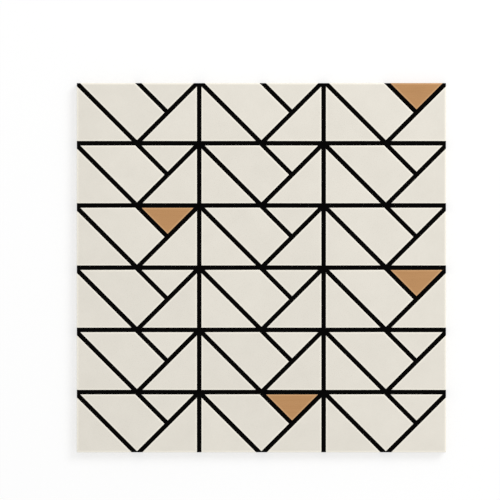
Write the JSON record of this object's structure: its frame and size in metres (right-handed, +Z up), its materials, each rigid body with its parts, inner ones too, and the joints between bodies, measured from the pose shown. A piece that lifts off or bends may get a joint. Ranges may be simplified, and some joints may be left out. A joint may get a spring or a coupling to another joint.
{
  "type": "triangle mosaic tile",
  "caption": "Square mosaic tile sheet of cream ceramic triangles and trapezoids with a few bronze triangles, black joints and a glass net on its back, for facing walls and floors.",
  "frame": {"origin": "middle of the back of the sheet, on the floor that it lies on", "axes": "+Z up out of the face of the sheet, +X along the rows to the right, +Y to the first row"},
  "size_m": [0.2968, 0.2968, 0.0084],
  "materials": {
    "cream_glaze": "matte",
    "bronze": "satin",
    "black_grout": "matte",
    "glass_net": "matte"
  },
  "bodies": {
    "root": {"joint_grout": "black_grout", "net_cross_strands": "glass_net", "net_long_strands": "glass_net", "row_1_column_3_bronze_triangle": "bronze", "row_1_corner_triangles": "cream_glaze", "row_1_end_triangles": "cream_glaze", "row_1_small_triangles": "cream_glaze", "row_1_trapezoids": "cream_glaze", "row_2_corner_triangles": "cream_glaze", "row_2_end_triangles": "cream_glaze", "row_2_small_triangles": "cream_glaze", "row_2_trapezoids": "cream_glaze", "row_3_column_1_bronze_triangle": "bronze", "row_3_corner_triangles": "cream_glaze", "row_3_end_triangles": "cream_glaze", "row_3_small_triangles": "cream_glaze", "row_3_trapezoids": "cream_glaze", "row_4_column_3_bronze_triangle": "bronze", "row_4_corner_triangles": "cream_glaze", "row_4_end_triangles": "cream_glaze", "row_4_small_triangles": "cream_glaze", "row_4_trapezoids": "cream_glaze", "row_5_corner_triangles": "cream_glaze", "row_5_end_triangles": "cream_glaze", "row_5_small_triangles": "cream_glaze", "row_5_trapezoids": "cream_glaze", "row_6_column_2_bronze_triangle": "bronze", "row_6_corner_triangles": "cream_glaze", "row_6_end_triangles": "cream_glaze", "row_6_small_triangles": "cream_glaze", "row_6_trapezoids": "cream_glaze"}
  },
  "joints": []
}
